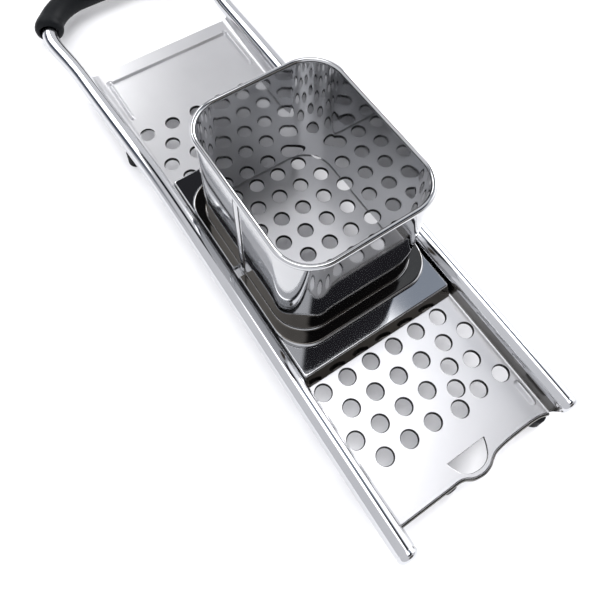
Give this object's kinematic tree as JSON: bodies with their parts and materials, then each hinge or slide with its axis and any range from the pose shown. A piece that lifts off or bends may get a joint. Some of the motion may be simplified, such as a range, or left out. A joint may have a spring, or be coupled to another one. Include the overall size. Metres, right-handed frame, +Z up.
{
  "type": "spaetzle maker",
  "caption": "Hand spaetzle maker: bottomless hopper sliding on a perforated steel sheet between two tube rails, with a pot-rim notch and a soft-gripped loop handle.",
  "frame": {"origin": "centre of the bounding box footprint, at table height under the feet", "axes": "+Y from the pot-rim end towards the handle, +Z up, +X to the right seen from the pot-rim end"},
  "size_m": [0.1168, 0.3682, 0.0845],
  "materials": {
    "polished_steel": "mirror-polished stainless steel",
    "satin_steel": "satin stainless steel",
    "grip_plastic": "soft matte black",
    "foot_rubber": "matt black rubber"
  },
  "bodies": {
    "frame": {"frame_tube": "polished_steel", "rail_cap_left": "polished_steel", "rail_cap_right": "polished_steel", "handle_grip": "grip_plastic", "strainer_plate": "satin_steel", "foot_near_left": "foot_rubber", "foot_near_right": "foot_rubber", "foot_far_left": "foot_rubber", "foot_far_right": "foot_rubber", "foot_stud_near_left": "satin_steel", "foot_stud_near_right": "satin_steel", "foot_stud_far_left": "satin_steel", "foot_stud_far_right": "satin_steel"},
    "carriage": {"carriage_tray": "polished_steel", "hopper_flange": "polished_steel", "hopper_wall": "polished_steel", "hopper_rim": "polished_steel", "hopper_seam": "polished_steel"}
  },
  "joints": [
    {"name": "carriage_slide", "type": "slide", "parent": "frame", "child": "carriage", "axis": [0, 1, 0], "range_m": [-0.046, 0.047]}
  ]
}
